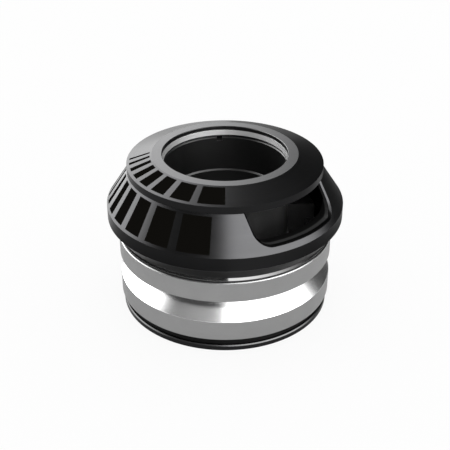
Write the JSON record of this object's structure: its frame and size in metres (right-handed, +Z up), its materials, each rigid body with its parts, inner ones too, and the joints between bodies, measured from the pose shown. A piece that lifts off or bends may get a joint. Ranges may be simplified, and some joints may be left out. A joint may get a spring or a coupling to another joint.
{
  "type": "bicycle headset",
  "caption": "Threadless headset with stacked cartridge bearings, split crown race, windowed conical cover for hoses, compression ring and conical top ring.",
  "frame": {"origin": "centre of the crown race's underside, on the steering axis", "axes": "+Z up along the steering axis, -Y towards the front of the bicycle and the hose window"},
  "size_m": [0.057, 0.057, 0.0391],
  "materials": {
    "black_anodised": "turned aluminium, semi-gloss black anodised",
    "bearing_steel": "satin ground bearing steel",
    "ball_steel": "polished bearing steel",
    "black_resin": "moulded glass-filled nylon",
    "seal_rubber": "moulded nitrile rubber",
    "seal_case": "polished steel case of a rubber lip seal",
    "cage_nylon": "moulded natural nylon"
  },
  "bodies": {
    "frame_side": {"upper_outer_race": "bearing_steel", "upper_far_seal": "seal_rubber", "upper_waist_seal": "seal_rubber", "lower_outer_race": "bearing_steel", "lower_far_seal": "seal_rubber", "lower_waist_seal": "seal_rubber"},
    "upper_steering": {"upper_inner_race": "bearing_steel", "compression_ring": "black_resin", "cover": "black_anodised", "cover_seal": "seal_case", "top_ring": "black_anodised"},
    "lower_steering": {"lower_inner_race": "bearing_steel", "crown_race": "black_anodised", "crown_race_seal": "seal_rubber"},
    "upper_ball_set": {"upper_balls": "ball_steel", "upper_ball_cage": "cage_nylon"},
    "lower_ball_set": {"lower_balls": "ball_steel", "lower_ball_cage": "cage_nylon"}
  },
  "joints": [
    {"name": "upper_steering_turn", "type": "hinge", "parent": "frame_side", "child": "upper_steering", "pos_m": [0, 0, 0.01513], "axis": [0, 0, 1], "continuous": true},
    {"name": "lower_steering_turn", "type": "hinge", "parent": "frame_side", "child": "lower_steering", "pos_m": [0, 0, 0.00713], "axis": [0, 0, 1], "continuous": true},
    {"name": "upper_ball_roll", "type": "hinge", "parent": "frame_side", "child": "upper_ball_set", "pos_m": [0, 0, 0.01513], "axis": [0, 0, 1], "continuous": true},
    {"name": "lower_ball_roll", "type": "hinge", "parent": "frame_side", "child": "lower_ball_set", "pos_m": [0, 0, 0.00713], "axis": [0, 0, 1], "continuous": true}
  ],
  "couplings": [
    {"joint": "upper_ball_roll", "follows": "upper_steering_turn", "ratio": 0.4756},
    {"joint": "lower_ball_roll", "follows": "lower_steering_turn", "ratio": 0.4756}
  ]
}
